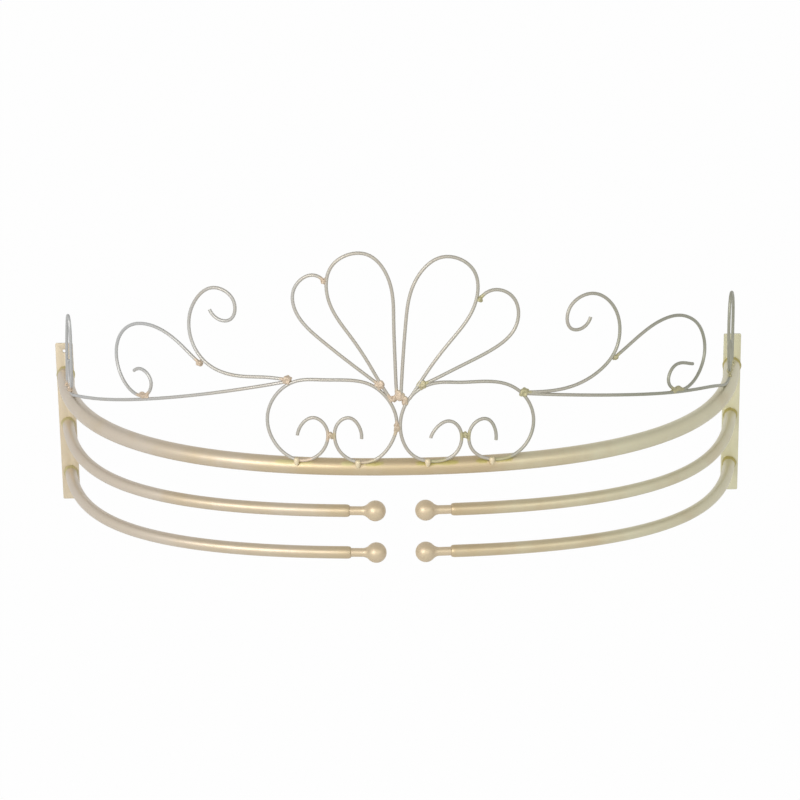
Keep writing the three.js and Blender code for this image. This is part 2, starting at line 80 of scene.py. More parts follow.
# %% [markdown]
# ## The room
# A product photograph like this one is made in a white room with large soft lamps. The floor is
# one wide plane far below the crown, as below a crown on its wall, and the world is the rest of
# the room. Light Path lets the camera and the metal see plain white there, while the lamps set
# how much light falls on the paint. A little of the floor's own shading is left in, so it keeps
# the soft shadow. The world fades from white walls to a light grey ceiling, and that draws a
# darker line along the top of each tube.

# %% Floor and world
FLOOR_SIZE, FLOOR_HEIGHT = 60, -1.3


def feed(tree, value, spot):
    """Link an output into a socket, or write a plain value on it."""
    if isinstance(value, bpy.types.NodeSocket):
        tree.links.new(value, spot)
    else:
        spot.default_value = value


def add_math(tree, kind, first, second):
    maths = tree.nodes.new("ShaderNodeMath")
    maths.operation = kind
    feed(tree, first, maths.inputs[0])
    feed(tree, second, maths.inputs[1])
    return maths.outputs[0]


def seen_white(tree):
    """1 for a ray of the camera, of a reflection or through glass, and 0 for any other."""
    path = tree.nodes.new("ShaderNodeLightPath")
    seen = add_math(tree, "MAXIMUM", path.outputs["Is Camera Ray"], path.outputs["Is Glossy Ray"])
    return add_math(tree, "MAXIMUM", seen, path.outputs["Is Transmission Ray"])


bpy.ops.object.select_all(action="DESELECT")
bpy.ops.mesh.primitive_plane_add(size=FLOOR_SIZE, location=(0, 0, FLOOR_HEIGHT))
floor = bpy.context.object
floor.name = "studio_floor"
floor_paint = bpy.data.materials.new("pale studio floor")
floor_paint.use_nodes = True
tree = floor_paint.node_tree
nodes, links = tree.nodes, tree.links
matt = nodes["Principled BSDF"]
matt.inputs["Base Color"].default_value = (0.86, 0.86, 0.85, 1)
matt.inputs["Roughness"].default_value = 0.9
glow = nodes.new("ShaderNodeEmission")
glow.inputs["Color"].default_value = (1, 1, 1, 1)
blend = nodes.new("ShaderNodeMixShader")
links.new(add_math(tree, "MULTIPLY", seen_white(tree), 0.985), blend.inputs[0])
links.new(matt.outputs[0], blend.inputs[1])
links.new(glow.outputs[0], blend.inputs[2])
links.new(blend.outputs[0], nodes["Material Output"].inputs["Surface"])
floor.data.materials.append(floor_paint)

world = bpy.data.worlds.new("studio")
world.use_nodes = True
bpy.context.scene.world = world
tree = world.node_tree
nodes, links = tree.nodes, tree.links
sky = nodes["Background"]
where = nodes.new("ShaderNodeTexCoord")
split = nodes.new("ShaderNodeSeparateXYZ")
links.new(where.outputs["Generated"], split.inputs[0])
height = nodes.new("ShaderNodeValToRGB")
height.color_ramp.elements[0].position = 0.35
height.color_ramp.elements[0].color = (1, 1, 1, 1)
height.color_ramp.elements[1].position = 0.8
height.color_ramp.elements[1].color = (0.7, 0.7, 0.7, 1)
links.new(split.outputs["Z"], height.inputs[0])
level = nodes.new("ShaderNodeMix")
level.data_type = "FLOAT"
level.inputs["A"].default_value = 0.45
level.inputs["B"].default_value = 1.0
links.new(seen_white(tree), level.inputs["Factor"])
links.new(height.outputs["Color"], sky.inputs["Color"])
links.new(level.outputs["Result"], sky.inputs["Strength"])
print("floor at", floor.location.z, "m")

# %% [markdown]
# The key lamp is a wide softbox to the left of the camera and nearly as high. It is what makes
# the soft bright band along every tube, brightest left of the middle. A weaker and larger lamp on
# the other side, a little greener, keeps the right half from going dull.

# %% Soft lamps
LIT_SPOT = Vector((0, -0.25, 0.05))


def softbox(name, place, size, watts, tint):
    bpy.ops.object.select_all(action="DESELECT")
    bpy.ops.object.light_add(type="AREA", location=place)
    lamp = bpy.context.object
    lamp.name = lamp.data.name = name
    lamp.data.shape = "RECTANGLE"
    lamp.data.size, lamp.data.size_y = size
    lamp.data.energy = watts
    lamp.data.color = tint
    aim = LIT_SPOT - Vector(place)
    lamp.rotation_euler = aim.to_track_quat("-Z", "Y").to_euler()


softbox("key softbox", (-1.62, -2.85, 1.1), (1.5, 1.0), 48, (1, 0.98, 0.965))
softbox("fill softbox", (1.3, -3.1, 1.2), (2.4, 1.4), 15, (0.98, 1, 0.94))
bpy.context.scene.view_settings.view_transform = "Standard"

# %% [markdown]
# ## The paint
# Everything is sprayed with one champagne gold paint, a clear lacquer full of fine metal flakes.
# Under soft light it is satin: brighter than plain paint where it faces the lamps, darker where
# it doesn't, and never mirror-like. Its tone drifts in soft patches, from one tone in the middle
# of the crown to a greyer one on the left and a greener one on the right; on the rails the darker
# middle tone is partly painted shade and the lighter sides partly painted light. Its skin is
# slightly pebbled, and over weld metal it is burnt tan or olive and a little rougher. These effects
# are shared by all five finishes, so each one is a node group with its own named inputs.

# %% Node groups for the paint
def new_group(name, inputs, outputs):
    group = bpy.data.node_groups.new(name, "ShaderNodeTree")
    for label, kind, value in inputs:
        made = group.interface.new_socket(label, in_out="INPUT", socket_type=kind)
        if value is not None:
            made.default_value = value
    for label, kind in outputs:
        group.interface.new_socket(label, in_out="OUTPUT", socket_type=kind)
    return group, group.nodes.new("NodeGroupInput"), group.nodes.new("NodeGroupOutput")


def add_noise(group, place, scale, detail, roughness=0.55):
    noise = group.nodes.new("ShaderNodeTexNoise")
    noise.inputs["Scale"].default_value = scale
    noise.inputs["Detail"].default_value = detail
    noise.inputs["Roughness"].default_value = roughness
    group.links.new(place, noise.inputs["Vector"])
    return noise


def add_stretch(group, value, low, high, to_low=0.0, to_high=1.0):
    stretch = group.nodes.new("ShaderNodeMapRange")
    stretch.inputs["From Min"].default_value = low
    stretch.inputs["From Max"].default_value = high
    stretch.inputs["To Min"].default_value = to_low
    stretch.inputs["To Max"].default_value = to_high
    group.links.new(value, stretch.inputs["Value"])
    return stretch.outputs["Result"]


def add_colour_mix(tree, factor, first, second, kind="MIX"):
    mix = tree.nodes.new("ShaderNodeMix")
    mix.data_type = "RGBA"
    mix.blend_type = kind
    for label, link in (("Factor", factor), ("A", first), ("B", second)):
        feed(tree, link, mix.inputs[label])
    return mix.outputs["Result"]


def make_tone_group():
    """Patches of the middle tone and of the side's own, which win further from the middle; on the
    rails the darker middle is partly painted shade and the lighter sides partly painted light.
    """
    group, given, out = new_group(
        "champagne tone and painted shade",
        [("Place", "NodeSocketVector", None), ("Middle", "NodeSocketColor", (0.6, 0.5, 0.34, 1)),
         ("Left", "NodeSocketColor", (0.6, 0.5, 0.4, 1)),
         ("Right", "NodeSocketColor", (0.6, 0.55, 0.4, 1)), ("Flake", "NodeSocketFloat", 0.07)],
        [("Color", "NodeSocketColor")])
    place = given.outputs["Place"]
    split = group.nodes.new("ShaderNodeSeparateXYZ")
    group.links.new(place, split.inputs[0])
    aside = add_math(group, "ABSOLUTE", split.outputs["X"], 0.0)
    drift = add_noise(group, place, 7, 2)
    blotch = add_noise(group, place, 55, 4)
    mixed = add_math(group, "MULTIPLY", blotch.outputs["Fac"], 0.35)
    mixed = add_math(group, "ADD", drift.outputs["Fac"], mixed)
    # Further from the middle the side tones win: on the rails partly painted light on the sides and
    # painted shade in the middle.
    mixed = add_math(group, "ADD", mixed, add_stretch(group, aside, 0.0, 0.4, -0.3, 0.3))
    share = add_stretch(group, mixed, 0.45, 0.95)
    hand = add_stretch(group, split.outputs["X"], -0.15, 0.15)
    outer = add_colour_mix(group, hand, given.outputs["Left"], given.outputs["Right"])
    tone = add_colour_mix(group, share, given.outputs["Middle"], outer)
    flake = group.nodes.new("ShaderNodeTexVoronoi")
    flake.inputs["Scale"].default_value = 1500
    group.links.new(place, flake.inputs["Vector"])
    glint = add_colour_mix(group, given.outputs["Flake"], tone, flake.outputs["Color"], "SOFT_LIGHT")
    group.links.new(glint, out.inputs["Color"])
    return group


def make_skin_group():
    """Fine pebbles for the bump, and a roughness that wanders between two values."""
    group, given, out = new_group(
        "sprayed skin",
        [("Place", "NodeSocketVector", None), ("Smoothest", "NodeSocketFloat", 0.3),
         ("Roughest", "NodeSocketFloat", 0.45)],
        [("Roughness", "NodeSocketFloat"), ("Height", "NodeSocketFloat")])
    place = given.outputs["Place"]
    pebble = add_noise(group, place, 420, 2)
    grit = add_noise(group, place, 1900, 2)
    patch = add_noise(group, place, 26, 4)
    height = add_math(group, "MULTIPLY", grit.outputs["Fac"], 0.35)
    height = add_math(group, "ADD", pebble.outputs["Fac"], height)
    group.links.new(height, out.inputs["Height"])
    spread = add_math(group, "SUBTRACT", given.outputs["Roughest"], given.outputs["Smoothest"])
    part = add_math(group, "MULTIPLY", add_stretch(group, patch.outputs["Fac"], 0.3, 0.7), spread)
    rough = add_math(group, "ADD", given.outputs["Smoothest"], part)
    group.links.new(rough, out.inputs["Roughness"])
    return group


def make_weld_group():
    """Where weld metal is, with a frayed edge, its ripples, and its burn: tan left, olive right."""
    group, given, out = new_group(
        "weld metal",
        [("Place", "NodeSocketVector", None), ("Near", "NodeSocketFloat", 0.0),
         ("Olive", "NodeSocketColor", (0.5, 0.5, 0.3, 1)),
         ("Tan", "NodeSocketColor", (0.6, 0.5, 0.4, 1))],
        [("Mask", "NodeSocketFloat"), ("Height", "NodeSocketFloat"), ("Color", "NodeSocketColor")])
    edge = add_noise(group, given.outputs["Place"], 260, 3)
    frayed = add_math(group, "SUBTRACT", edge.outputs["Fac"], 0.5)
    frayed = add_math(group, "MULTIPLY", frayed, 0.7)
    frayed = add_math(group, "ADD", given.outputs["Near"], frayed)
    mask = add_stretch(group, frayed, 0.35, 0.8)
    group.links.new(mask, out.inputs["Mask"])
    split = group.nodes.new("ShaderNodeSeparateXYZ")
    group.links.new(given.outputs["Place"], split.inputs[0])
    burnt = add_noise(group, given.outputs["Place"], 19, 1)
    hand = add_math(group, "MULTIPLY", split.outputs["X"], 2.0)
    side = add_stretch(group, add_math(group, "ADD", burnt.outputs["Fac"], hand), 0.42, 0.58)
    tint = add_colour_mix(group, side, given.outputs["Tan"], given.outputs["Olive"])
    group.links.new(tint, out.inputs["Color"])
    ripple = add_noise(group, given.outputs["Place"], 620, 3, 0.7)
    group.links.new(add_math(group, "MULTIPLY", ripple.outputs["Fac"], mask), out.inputs["Height"])
    return group


tone_and_shade_group, skin_group, weld_group = make_tone_group(), make_skin_group(), make_weld_group()
print("groups:", [g.name for g in (tone_and_shade_group, skin_group, weld_group)])

# %% [markdown]
# Each finish places the three groups with its own values: the tubes are the most metallic, the
# wire is greyer because its thin coat lets the steel show through, the plates are paler and
# rougher, the balls keep nearly one tone, and the studs are the palest, a paler copy of the wire's
# paint that is painted light for the lamp they face. Weld metal is told apart by an attribute called
# weld that each piece carries, 1 on a bead and falling to 0 within a centimetre of it. On the upper
# rail it also carries painted shade in the crease under the crest's feet.

# %% The five finishes
def from_screen(red, green, blue):
    """A colour as it reads on a screen, from 0 to 255, as linear light."""
    parts = [value / 255 for value in (red, green, blue)]
    return (*[p / 12.92 if p < 0.04 else ((p + 0.055) / 1.055) ** 2.4 for p in parts], 1)


WELD_LUMPS = 1.3


def paint_finish(name, tones, burns, smoothest, roughest, metal, bump):
    """tones are for the middle, left and right, and burns for welds: tan and olive."""
    paint = bpy.data.materials.new(name)
    paint.use_nodes = True
    tree = paint.node_tree
    shader = tree.nodes["Principled BSDF"]
    shader.inputs["Metallic"].default_value = metal
    shader.inputs["Coat Weight"].default_value = 0.12
    shader.inputs["Coat Roughness"].default_value = 0.28
    where = tree.nodes.new("ShaderNodeTexCoord").outputs["Object"]
    near = tree.nodes.new("ShaderNodeAttribute")
    near.attribute_name = "weld"
    tone, skin, weld = (tree.nodes.new("ShaderNodeGroup") for _ in range(3))
    tone.node_tree, skin.node_tree, weld.node_tree = tone_and_shade_group, skin_group, weld_group
    for group in (tone, skin, weld):
        tree.links.new(where, group.inputs["Place"])
    for label, colour in zip(("Middle", "Left", "Right"), tones):
        tone.inputs[label].default_value = from_screen(*colour)
    for label, colour in zip(("Tan", "Olive"), burns):
        weld.inputs[label].default_value = from_screen(*colour)
    skin.inputs["Smoothest"].default_value = smoothest
    skin.inputs["Roughest"].default_value = roughest
    tree.links.new(near.outputs["Fac"], weld.inputs["Near"])
    colour = add_colour_mix(tree, weld.outputs["Mask"], tone.outputs["Color"], weld.outputs["Color"])
    tree.links.new(colour, shader.inputs["Base Color"])
    rougher = add_math(tree, "MULTIPLY", weld.outputs["Mask"], 0.12)
    rough = add_math(tree, "ADD", skin.outputs["Roughness"], rougher)
    tree.links.new(rough, shader.inputs["Roughness"])
    lumps = add_math(tree, "MULTIPLY", weld.outputs["Height"], WELD_LUMPS / bump)
    pebbled = tree.nodes.new("ShaderNodeBump")
    pebbled.inputs["Strength"].default_value = bump
    pebbled.inputs["Distance"].default_value = 0.15 * mm
    tree.links.new(add_math(tree, "ADD", skin.outputs["Height"], lumps), pebbled.inputs["Height"])
    tree.links.new(pebbled.outputs["Normal"], shader.inputs["Normal"])
    return paint


finishes = {
    # The rails' middle tone is darker than their sides: partly painted shade over the middle, painted
    # light on the sides.
    "rail_paint": paint_finish(
        "champagne rail paint", [(200, 181, 146), (209, 197, 180), (213, 207, 178)],
        [(204, 194, 146), (190, 178, 112)], 0.42, 0.52, 0.6, 0.2),
    "plate_paint": paint_finish(
        "champagne plate paint", [(216, 203, 174), (216, 202, 176), (222, 218, 186)],
        [(212, 202, 156), (204, 200, 140)], 0.45, 0.58, 0.4, 0.3),
    "wire_paint": paint_finish(
        "champagne wire paint", [(188, 182, 170), (190, 191, 190), (166, 166, 150)],
        [(210, 192, 170), (190, 184, 146)], 0.42, 0.54, 0.45, 0.07),
    "finial_paint": paint_finish(
        "champagne ball paint", [(212, 194, 164), (210, 194, 166), (208, 194, 162)],
        [(208, 192, 170), (186, 182, 142)], 0.44, 0.54, 0.5, 0.12),
    # The studs' paint is paler than the wire's: painted light for the key lamp they face.
    "stud_paint": paint_finish(
        "champagne stud paint", [(238, 222, 188), (240, 226, 194), (236, 222, 182)],
        [(220, 204, 168), (200, 190, 140)], 0.45, 0.58, 0.3, 0.3),
}
print("finishes:", list(finishes))

# %% [markdown]
# ## The bows
# Each rail is one curve in plan: nearly flat in front, bending back quickly beside the bed. A
# metalworker bends a straight tube over a former. The same works here: every rail is modelled
# straight and the crest is modelled flat, and a Curve modifier then wraps them round a bow. That
# keeps a tube's section round and puts each wire at its true distance along the crest. The crest
# has a bow of its own, because its wires sit on the upper rail's front shoulder.

# %% The former for each bow
BOW_WIDTH = 970 * mm
UPPER_TUBE, HALF_TUBE, WIRE = 11.5 * mm, 8.5 * mm, 2.25 * mm
CLEARANCE = 0.3 * mm
SEAT = (UPPER_TUBE + WIRE + CLEARANCE) / math.sqrt(2)
REACH = {"upper": 420 * mm, "mid": 384 * mm, "lower": 345 * mm, "crest": 420 * mm + SEAT}
TIER_DROP = 75 * mm
row_height = {"upper": 0.0, "mid": -TIER_DROP, "lower": -2 * TIER_DROP, "crest": 0.0}
# The handles' places: how far the front one runs, and how far the wall's one leans and lifts.
UPPER_BEND, HALF_BEND = (0.698, 0.953, 0.57), (0.742, 0.934, 0.62)
BOW_STEPS = 4000


def bow_corners(name):
    """The right half of a bow as a Bezier: front, its handle, the wall's handle, the wall."""
    half, reach = BOW_WIDTH / 2, REACH[name]
    run, lean, lift = HALF_BEND if name in ("mid", "lower") else UPPER_BEND
    return [Vector((0, -reach, 0)), Vector((run * half, -reach, 0)),
            Vector((lean * half, -lift * reach, 0)), Vector((half, 0, 0))]


def make_former(name):
    bpy.ops.object.select_all(action="DESELECT")
    bpy.ops.curve.primitive_bezier_curve_add()
    former = bpy.context.object
    former.name = f"{name}_former"
    former.data.resolution_u = 256
    former.data.twist_mode = "Z_UP"
    line = former.data.splines[0]
    line.bezier_points.add(1)
    front, front_handle, wall_handle, wall = bow_corners(name)
    flip = Matrix.Scale(-1, 3, (1, 0, 0))
    knots = [(flip @ wall, flip @ wall + (flip @ wall - flip @ wall_handle), flip @ wall_handle),
             (front, flip @ front_handle, front_handle),
             (wall, wall_handle, wall + (wall - wall_handle))]
    for point, (spot, before, after) in zip(line.bezier_points, knots):
        point.handle_left_type = point.handle_right_type = "FREE"
        point.co, point.handle_left, point.handle_right = spot, before, after
    return former


def walk_bow(name, distance):
    """The point at a distance along the right half of a bow, and the bow's direction there."""
    spots = interpolate_bezier(*bow_corners(name), BOW_STEPS)
    walked = 0.0
    for here, there in zip(spots, spots[1:]):
        step = (there - here).length
        if walked + step >= distance:
            return here.lerp(there, (distance - walked) / step), (there - here).normalized()
        walked += step
    return spots[-1], (spots[-1] - spots[-2]).normalized()


def bow_length(name):
    spots = interpolate_bezier(*bow_corners(name), BOW_STEPS)
    return sum((there - here).length for here, there in zip(spots, spots[1:]))


formers = {name: make_former(name) for name in REACH}
half_length = {name: bow_length(name) for name in REACH}
print("half bows in mm:", {name: round(length / mm, 1) for name, length in half_length.items()})

# %% [markdown]
# A few small steps come back for every piece: starting with a clean selection, wrapping the
# finished shape round its bow, hiding the imported nodes it stands for, and comparing
# its box with theirs. They are kept here as helpers with plain names.

# %% Helpers for every piece
BEFORE_WALL = 0.4 * mm


def pick(*pieces):
    if bpy.context.object and bpy.context.object.mode != "OBJECT":
        bpy.ops.object.mode_set(mode="OBJECT")
    bpy.ops.object.select_all(action="DESELECT")
    for piece in pieces:
        piece.select_set(True)
    bpy.context.view_layer.objects.active = pieces[0]


def bend_round(piece, bow):
    """Shift a straight piece to the middle of its bow and wrap it round the bow.

    A rail meets its plate at a slant, so its end is kept from coming out behind the plate.
    """
    pick(piece)
    piece.data.transform(Matrix.Translation((half_length[bow], 0, row_height[bow])))
    bpy.ops.object.modifier_add(type="CURVE")
    wrap = piece.modifiers[-1]
    wrap.object = formers[bow]
    wrap.deform_axis = "POS_X"
    bpy.ops.object.modifier_apply(modifier=wrap.name)
    for vertex in piece.data.vertices:
        vertex.co.y = min(vertex.co.y, -BEFORE_WALL)


def box_of(piece):
    spots = np.empty(len(piece.data.vertices) * 3, np.float32)
    piece.data.vertices.foreach_get("co", spots)
    spots = spots.reshape(-1, 3)
    return spots.min(0), spots.max(0)


def stand_for(piece, slot, body, *nodes, finish=None):
    """Smooth the piece, paint it, let it ride, and print how far its box is from its nodes'.

    A piece has the finish of its slot, unless it is given one of its own.
    """
    pick(piece)
    bpy.ops.object.shade_smooth_by_angle(angle=math.radians(40))
    piece.data.materials.clear()
    piece.data.materials.append(finishes[finish or slot])
    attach(piece, body)
    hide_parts(*nodes)
    low = np.min([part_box(node)[0] for node in nodes], axis=0)
    high = np.max([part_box(node)[1] for node in nodes], axis=0)
    new_low, new_high = box_of(piece)
    off = np.round(np.concatenate([new_low - low, new_high - high]) / mm, 1)
    print(f"{piece.name}: {len(piece.data.polygons)} faces, off by {off.tolist()} mm")


def mark_welds(piece, spots, reach=9 * mm):
    """The weld attribute: 1 at a bead and 0 from reach away. A spot is (x, y, z, bead radius)."""
    count = len(piece.data.vertices)
    places = np.empty(count * 3, np.float32)
    piece.data.vertices.foreach_get("co", places)
    places = places.reshape(-1, 3)
    near = np.zeros(count, np.float32)
    for x, y, z, radius in spots:
        away = np.linalg.norm(places - np.array([x, y, z]), axis=1) - radius
        near = np.maximum(near, np.clip(1 - away / reach, 0, 1))
    mark = piece.data.attributes.new("weld", "FLOAT", "POINT")
    mark.data.foreach_set("value", near)


# %% [markdown]
# ## Turned shapes
# Tubes, balls and studs are all round about a line, so each is drawn as half of its outline and
# spun. The outline is extruded point by point from a single vertex, which is what pressing E
# again and again does by hand. Spinning gives clean rings that bend well later, which a cylinder
# with two end caps doesn't.

# %% Draw an outline and spin it
def turned(name, outline, steps):
    """outline is a list of (distance along X, radius)."""
    bpy.ops.object.select_all(action="DESELECT")
    bpy.ops.mesh.primitive_plane_add(size=1 * mm)
    piece = bpy.context.object
    piece.name = piece.data.name = name
    bpy.ops.object.mode_set(mode="EDIT")
    bpy.ops.mesh.select_all(action="SELECT")
    bpy.ops.mesh.merge(type="CENTER")
    here = Vector((outline[0][0], 0, outline[0][1]))
    bpy.ops.transform.translate(value=here)
    for along, radius in outline[1:]:
        there = Vector((along, 0, radius))
        bpy.ops.mesh.extrude_region_move(TRANSFORM_OT_translate={"value": there - here})
        here = there
    bpy.ops.mesh.select_all(action="SELECT")
    bpy.ops.mesh.spin(steps=steps, angle=2 * math.pi, center=(0, 0, 0), axis=(1, 0, 0))
    bpy.ops.mesh.select_all(action="SELECT")
    bpy.ops.mesh.remove_doubles(threshold=0.005 * mm)
    bpy.ops.mesh.normals_make_consistent(inside=False)
    bpy.ops.object.mode_set(mode="OBJECT")
    return piece


def evenly(start, stop, step):
    count = max(1, round(abs(stop - start) / step))
    return [start + (stop - start) * i / count for i in range(1, count + 1)]


# %% [markdown]
# ## The upper rail
# One 23 mm tube runs from plate to plate. Where it meets a plate, a ring of weld metal swells it.
# The tube is spun straight, the weld rings are roughened, and then it is bent round its bow. Its
# ends run a little way into the plates, so no gap shows. In front, where the crest is welded on,
# short olive smears are marked as weld metal too; they are partly torch smears and partly painted
# shade in the crease under each wire's foot.

# %% Upper rail
PLATE_FACE = 3 * mm
INTO_PLATE = 1.6 * mm
WELD_RUN = 6 * mm
RAIL_SIDES, UPPER_STEP, HALF_STEP = 32, 8 * mm, 7 * mm
# Where the smears start and stop, as shares of the rail's half length. They are partly weld
# smears and partly painted shade in the crease under the crest wires' feet.
SMEARS_AND_CREASE_SHADE = ((-0.225, -0.2), (-0.185, -0.16), (-0.1, -0.084), (-0.062, -0.036),
          (0.03, 0.042), (0.055, 0.098), (0.14, 0.156), (0.176, 0.2))


def weld_ring(end, radius, outward):
    """Outline of a weld ring from the clean tube to its end inside the plate."""
    ring = [(WELD_RUN, 0), (0.75 * WELD_RUN, 0.8), (0.45 * WELD_RUN, 1.6), (0.15 * WELD_RUN, 2.1),
            (-INTO_PLATE, 2.1)]
    return [(end - outward * (PLATE_FACE + back), radius + swell * mm) for back, swell in ring]


def roughen(piece, choose, offset, seed):
    """Move the chosen vertices in and out at random, then calm them down, as molten metal is."""
    pick(piece)
    bpy.ops.object.mode_set(mode="EDIT")
    bpy.ops.mesh.select_all(action="DESELECT")
    bpy.ops.object.mode_set(mode="OBJECT")
    for vertex in piece.data.vertices:
        vertex.select = bool(choose(vertex.co))
    bpy.ops.object.mode_set(mode="EDIT")
    bpy.ops.transform.vertex_random(offset=offset, uniform=0.1, normal=0.9, seed=seed)
    bpy.ops.mesh.vertices_smooth(factor=0.5, repeat=1)
    bpy.ops.object.mode_set(mode="OBJECT")


def near_root(end, radius):
    """A test for the weld ring's own vertices, which leaves the tube and its end cap alone."""
    reach = PLATE_FACE + 0.8 * WELD_RUN
    return lambda co: end - abs(co.x) < reach and math.hypot(co.y, co.z) > 0.9 * radius


def root_spots(end, outward, radius):
    """Spots of weld metal round a tube's root."""
    face = end - outward * (PLATE_FACE + 1 * mm)
    turns = np.linspace(0, 2 * math.pi, 12)
    return [(face, radius * math.cos(a), radius * math.sin(a), 3 * mm) for a in turns]


end = half_length["upper"]
left_root, right_root = weld_ring(-end, UPPER_TUBE, -1), weld_ring(end, UPPER_TUBE, 1)
run = [(x, UPPER_TUBE) for x in evenly(left_root[0][0], right_root[0][0], UPPER_STEP)][:-1]
outline = [(left_root[-1][0], 0), *reversed(left_root), *run, *right_root, (right_root[-1][0], 0)]
upper_rail = turned("upper_rail_tube", outline, RAIL_SIDES)
roughen(upper_rail, near_root(end, UPPER_TUBE), 1.1 * mm, 3)
# These spots give the weld tints to the smears and to the painted shade in the crease under the crest
# wires' feet.
smear_and_shade_spots = [(share * end, -0.76 * UPPER_TUBE, 0.65 * UPPER_TUBE, 1.2 * mm)
          for first, last in SMEARS_AND_CREASE_SHADE for share in (first, *evenly(first, last, 0.005))]
roots = [*root_spots(-end, -1, UPPER_TUBE), *root_spots(end, 1, UPPER_TUBE)]
mark_welds(upper_rail, [*roots, *smear_and_shade_spots], 5 * mm)
bend_round(upper_rail, "upper")
stand_for(upper_rail, "rail_paint", "frame", "upper_rail")

# %% [markdown]
# ## The half rails
# The two lower rows are 17 mm tubes that stop short of the middle, each with a socket end for its
# ball. The socket's nose is rounded down to a thin lip round the bore. The outline starts inside
# the tube, comes out through the bore, over the lip and the nose, and runs on to the wall.

# %% Half rails
SOCKET_START = 68 * mm
SOCKET_BACK = SOCKET_START + 21 * mm
INSIDE_END = SOCKET_START + 60 * mm
BORE, LIP, NOSE, INSIDE = 6.4 * mm, 6.9 * mm, 6 * mm, 7.3 * mm
NOSE_STEPS = 8


def half_rail(side, row, seed):
    sign = -1 if side == "left" else 1
    end = half_length[row]
    nose = []
    for turn in range(NOSE_STEPS + 1):
        angle = math.pi / 2 * turn / NOSE_STEPS
        back, swell = NOSE * (1 - math.cos(angle)), (HALF_TUBE - LIP) * math.sin(angle)
        nose.append((SOCKET_START + back, LIP + swell))
    root = weld_ring(end, HALF_TUBE, 1)
    run = [(x, HALF_TUBE) for x in evenly(nose[-1][0], root[0][0], HALF_STEP)][:-1]
    outline = [(INSIDE_END, 0), (INSIDE_END, INSIDE), (SOCKET_BACK, INSIDE), (SOCKET_BACK, BORE),
               (SOCKET_START + 0.5 * mm, BORE), *nose, *run, *root, (root[-1][0], 0)]
    outline = [(sign * x, radius) for x, radius in outline]
    rail = turned(f"{side}_{row}_rail_tube", outline, RAIL_SIDES)
    roughen(rail, near_root(end, HALF_TUBE), 1.0 * mm, seed)
    mark_welds(rail, root_spots(sign * end, sign, HALF_TUBE))
    bend_round(rail, row)
    stand_for(rail, "rail_paint", "frame", f"{side}_{row}_rail", f"{side}_{row}_socket")


half_rail("left", "mid", 11)
half_rail("right", "mid", 12)
half_rail("left", "lower", 13)
half_rail("right", "lower", 14)

# %% [markdown]
# ## The ball finials
# A ball, a trumpet neck and a spigot, turned from one bar. It is modelled once, with its ball at
# zero and its spigot along X. Four copies, each with its own mesh, are turned to the direction in
# which their joint pulls, and set at the rails' ends.

# %% Ball finials
BALL, STEM, FLARE = 14 * mm, 6 * mm, 12 * mm
STEM_REACH, SPIGOT = 34.5 * mm, 17 * mm
BALL_STEPS, FLARE_STEPS = 28, 8

flare_centre = math.sqrt((BALL + FLARE) ** 2 - (STEM + FLARE) ** 2)
touch = math.atan2(STEM + FLARE, flare_centre)
outline = [(-BALL, 0)]
for step in range(1, BALL_STEPS + 1):
    angle = math.pi - (math.pi - touch) * step / BALL_STEPS
    outline.append((BALL * math.cos(angle), BALL * math.sin(angle)))
for step in range(1, FLARE_STEPS + 1):
    angle = touch + (math.pi / 2 - touch) * step / FLARE_STEPS
    outline.append((flare_centre - FLARE * math.cos(angle), STEM + FLARE - FLARE * math.sin(angle)))
tip = STEM_REACH + SPIGOT
outline += [(x, STEM) for x in evenly(outline[-1][0], tip - 1 * mm, 5 * mm)]
outline += [(tip - 0.4 * mm, STEM - 0.3 * mm), (tip, STEM - 1 * mm), (tip, 0)]
ball_model = turned("ball_model", outline, 48)
mark_welds(ball_model, [])
for joint in frame["joints"]:
    node = joint["child"]
    side, row, _ = node.split("_")
    pick(ball_model)
    bpy.ops.object.duplicate()
    ball = bpy.context.object
    ball.name = ball.data.name = f"{side}_{row}_ball"
    spot, along = walk_bow(row, SOCKET_START)
    if side == "left":
        spot.x, along.x = -spot.x, -along.x
    centre = spot - STEM_REACH * along + Vector((0, 0, row_height[row]))
    ball.rotation_euler = Vector((1, 0, 0)).rotation_difference(along).to_euler()
    ball.location = centre
    pick(ball)
    bpy.ops.object.transform_apply(location=True, rotation=True, scale=True)
    stand_for(ball, "finial_paint", node, node)
bpy.data.objects.remove(ball_model)

# %% [markdown]
# ## The wall plates
# Two strips of 3 mm flat bar, each with a screw hole near either end. A cube is stretched to the
# bar's size and its four long corners are rounded, the holes are cut with a Boolean, and a small
# Bevel rounds every sheared edge and both rims of each hole, as paint does.

# %% Wall plates
PLATE_WIDTH, PLATE_TOP, PLATE_FOOT = 25 * mm, 48 * mm, -192 * mm
CORNER, EASED_EDGE = 2 * mm, 0.4 * mm
SCREW_HOLE, HOLE_FROM_END = 2.5 * mm, 12 * mm
ROOTS = (("upper", UPPER_TUBE), ("mid", HALF_TUBE), ("lower", HALF_TUBE))

